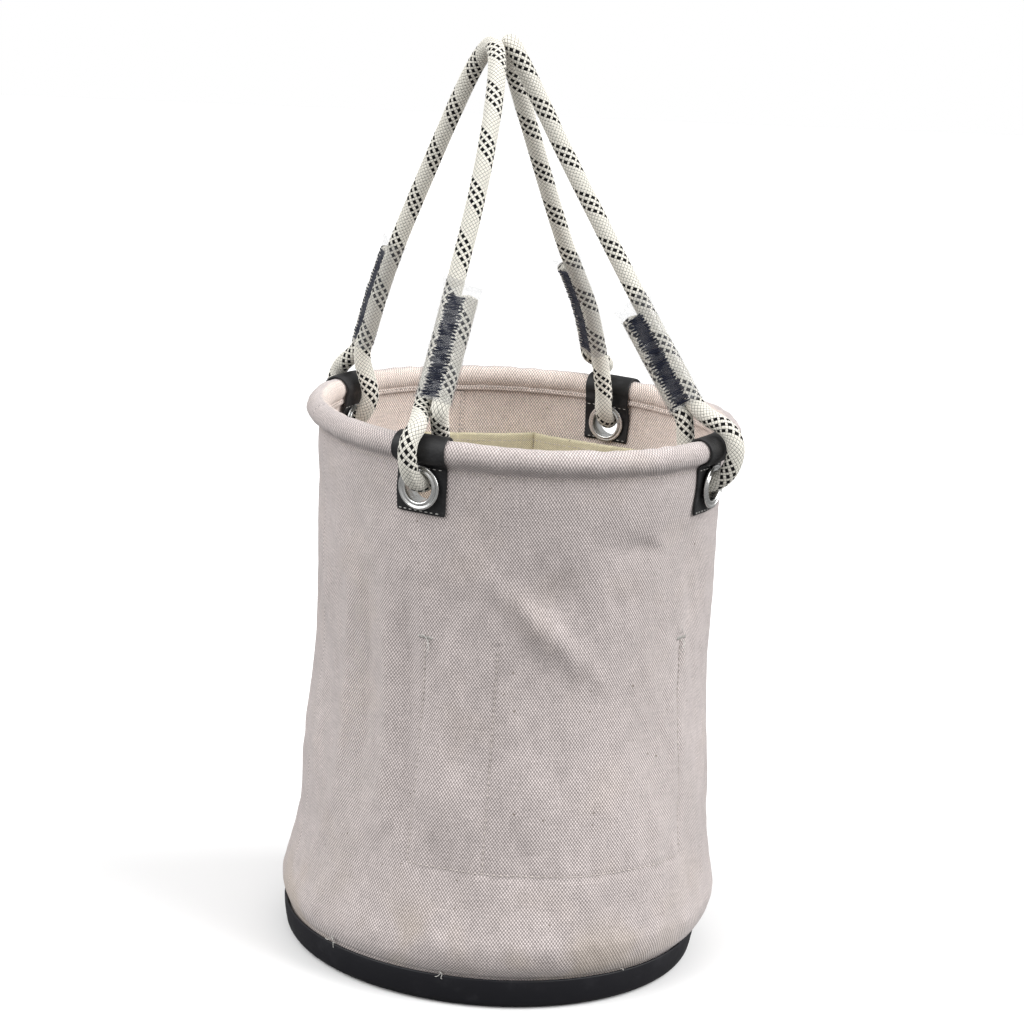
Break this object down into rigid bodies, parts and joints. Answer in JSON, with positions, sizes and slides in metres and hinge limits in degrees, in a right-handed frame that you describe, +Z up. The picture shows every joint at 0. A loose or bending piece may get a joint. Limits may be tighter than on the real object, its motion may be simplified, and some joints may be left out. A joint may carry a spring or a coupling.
{
  "type": "canvas tool bucket organizer",
  "caption": "Open canvas tool bucket with moulded base, hoop-stiffened rolled rim, grommeted patches, inside pockets and hinged rope handles sewn under clear sleeves.",
  "frame": {"origin": "centre of the moulded base's flat underside", "axes": "+Z up the bucket; the left handle is on the -X side and the right handle on the +X side, each joining two eyes that lie on the diagonals"},
  "size_m": [0.3116, 0.3116, 0.6479],
  "materials": {
    "canvas": "heavy undyed cotton duck",
    "binding": "yellowish cotton tape",
    "base": "satin moulded black",
    "patch": "black vinyl-coated leather",
    "grommet": "bright plated steel",
    "rope": "braided white synthetic rope",
    "thread": "waxed black thread",
    "sleeve": "clear shrink tube",
    "hoop": "extruded hoop"
  },
  "bodies": {
    "root": {"base_cup": "base", "bottom_liner": "canvas", "canvas_body": "canvas", "rim_hoop": "hoop", "seam_strip": "canvas", "patch_front": "patch", "patch_left": "patch", "patch_right": "patch", "patch_back": "patch", "grommet_front": "grommet", "grommet_left": "grommet", "grommet_right": "grommet", "grommet_back": "grommet", "washer_front": "grommet", "washer_left": "grommet", "washer_right": "grommet", "washer_back": "grommet", "pocket_front": "canvas", "pocket_back": "canvas", "pocket_tape_front": "binding", "pocket_tape_back": "binding", "rope_eye_front": "rope", "rope_eye_left": "rope", "rope_eye_right": "rope", "rope_eye_back": "rope"},
    "handle_left": {"rope_span_left": "rope", "rope_tail_front": "rope", "rope_tail_left": "rope", "sleeve_front": "sleeve", "sleeve_left": "sleeve", "seizing_front_a": "thread", "seizing_front_b": "thread", "seizing_left_a": "thread", "seizing_left_b": "thread"},
    "handle_right": {"rope_span_right": "rope", "rope_tail_right": "rope", "rope_tail_back": "rope", "sleeve_right": "sleeve", "sleeve_back": "sleeve", "seizing_right_a": "thread", "seizing_right_b": "thread", "seizing_back_a": "thread", "seizing_back_b": "thread"}
  },
  "joints": [
    {"name": "handle_left_swing", "type": "hinge", "parent": "root", "child": "handle_left", "pos_m": [-0.0965, 0, 0.412], "axis": [0, -1, 0], "range_deg": [0, 110], "deforming": ["rope_eye_front", "rope_eye_left"]},
    {"name": "handle_right_swing", "type": "hinge", "parent": "root", "child": "handle_right", "pos_m": [0.083, 0, 0.412], "axis": [0, 1, 0], "range_deg": [0, 118], "deforming": ["rope_eye_right", "rope_eye_back"]}
  ]
}
